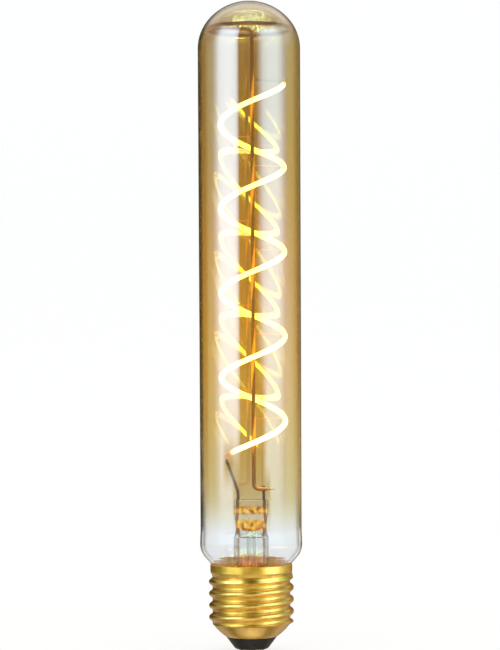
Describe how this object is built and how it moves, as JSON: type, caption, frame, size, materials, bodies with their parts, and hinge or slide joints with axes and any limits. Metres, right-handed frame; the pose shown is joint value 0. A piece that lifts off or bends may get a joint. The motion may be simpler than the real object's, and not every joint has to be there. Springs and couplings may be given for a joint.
{
  "type": "tubular light bulb",
  "caption": "Tubular filament lamp with a domed gold glass tube, a spiral LED filament on a wire frame, a glass stem and a brass screw cap.",
  "frame": {"origin": "on the face of the centre contact, on the lamp's axis", "axes": "+Z along the lamp's axis from the cap to the dome, -Y towards the front, +X to the right"},
  "size_m": [0.0316, 0.0316, 0.2],
  "materials": {
    "amber_glass": "gold-tinted blown glass, clear near the cap",
    "clear_glass": "clear pressed glass",
    "cap_brass": "drawn and rolled, satin",
    "insulator_glass": "black moulded glass",
    "contact_metal": "pressed, nickel plated",
    "cement": "baked resin cement",
    "lit_phosphor": "phosphor in silicone, lit",
    "terminal_metal": "stamped, plated",
    "nickel_wire": "drawn nickel",
    "bronzed_wire": "drawn, darkened by the amber glass",
    "copper_wire": "drawn copper",
    "support_wire": "drawn molybdenum",
    "board_laminate": "glass-fibre laminate with solder mask",
    "package_resin": "moulded resin",
    "capacitor_sleeve": "shrunk plastic sleeve",
    "resistor_lacquer": "dipped lacquer",
    "resistor_ceramic": "fired, glazed",
    "wire_sleeve": "sleeved wire"
  },
  "bodies": {
    "root": {"glass_envelope": "amber_glass", "stem_glass": "clear_glass", "exhaust_tube": "clear_glass", "screw_shell": "cap_brass", "cap_insulator": "insulator_glass", "centre_contact": "contact_metal", "basing_cement": "cement", "led_filament": "lit_phosphor", "upper_filament_terminal": "terminal_metal", "lower_filament_terminal": "terminal_metal", "left_inner_lead": "nickel_wire", "right_inner_lead": "nickel_wire", "support_rod": "bronzed_wire", "upper_link_wire": "nickel_wire", "left_seal_wire": "copper_wire", "right_seal_wire": "copper_wire", "left_outer_lead": "copper_wire", "right_outer_lead": "copper_wire", "driver_board": "board_laminate", "bridge_rectifier": "package_resin", "driver_chip": "package_resin", "smoothing_capacitor": "capacitor_sleeve", "fuse_resistor": "resistor_lacquer", "sense_resistor_1": "resistor_ceramic", "sense_resistor_2": "resistor_ceramic", "live_wire": "wire_sleeve", "neutral_wire": "wire_sleeve", "filament_support_1": "support_wire", "filament_support_2": "support_wire", "filament_support_3": "support_wire", "filament_support_4": "support_wire", "filament_support_5": "support_wire", "filament_support_6": "support_wire", "filament_support_7": "support_wire", "filament_support_8": "support_wire"}
  },
  "joints": []
}
